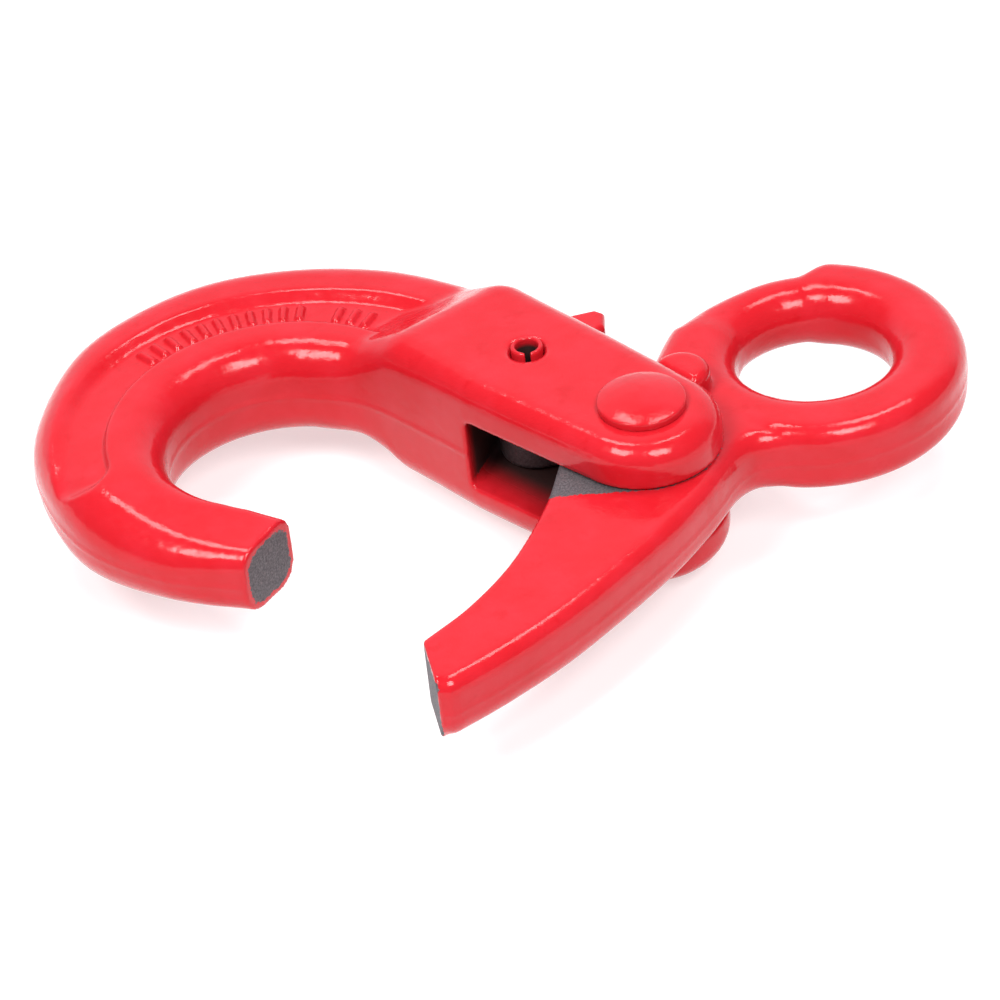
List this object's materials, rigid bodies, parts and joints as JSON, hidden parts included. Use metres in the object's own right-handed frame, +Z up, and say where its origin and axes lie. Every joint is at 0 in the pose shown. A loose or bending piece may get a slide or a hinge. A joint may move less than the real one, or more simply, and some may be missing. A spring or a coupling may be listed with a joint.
{
  "type": "eye self-locking safety hook",
  "caption": "Forged eye self-locking safety hook: C-shaped load hook with a forked root, pivoting eye-and-gate forging, riveted hinge pin and a sprung trigger on a roll pin.",
  "frame": {"origin": "centre of the load bowl, on the mid-plane of the forging", "axes": "+X from the bowl towards the closed eye (load direction), +Y towards the fork side, +Z parallel to the hinge pin; the hook lies flat with +Z up"},
  "size_m": [0.1272, 0.0917, 0.0282],
  "materials": {
    "red_paint": "glossy dipped red paint over forged alloy steel, bare dark steel where the gate and the tip meet",
    "spring_steel": "plain oiled spring wire"
  },
  "bodies": {
    "hook": {"hook_body": "red_paint", "hinge_pin": "red_paint", "trigger_pin": "red_paint", "trigger_spring": "spring_steel"},
    "gate": {"eye_gate": "red_paint"},
    "trigger": {"trigger": "red_paint"}
  },
  "joints": [
    {"name": "gate_hinge", "type": "hinge", "parent": "hook", "child": "gate", "pos_m": [0.0497, -0.0049, 0], "axis": [0, 0, 1], "range_deg": [-41.5, 0]},
    {"name": "trigger_pivot", "type": "hinge", "parent": "hook", "child": "trigger", "pos_m": [0.03373, 0.00859, 0], "axis": [0, 0, 1], "range_deg": [0, 8], "stiffness_Nm_per_rad": 0.06, "springref_deg": -22.92}
  ]
}
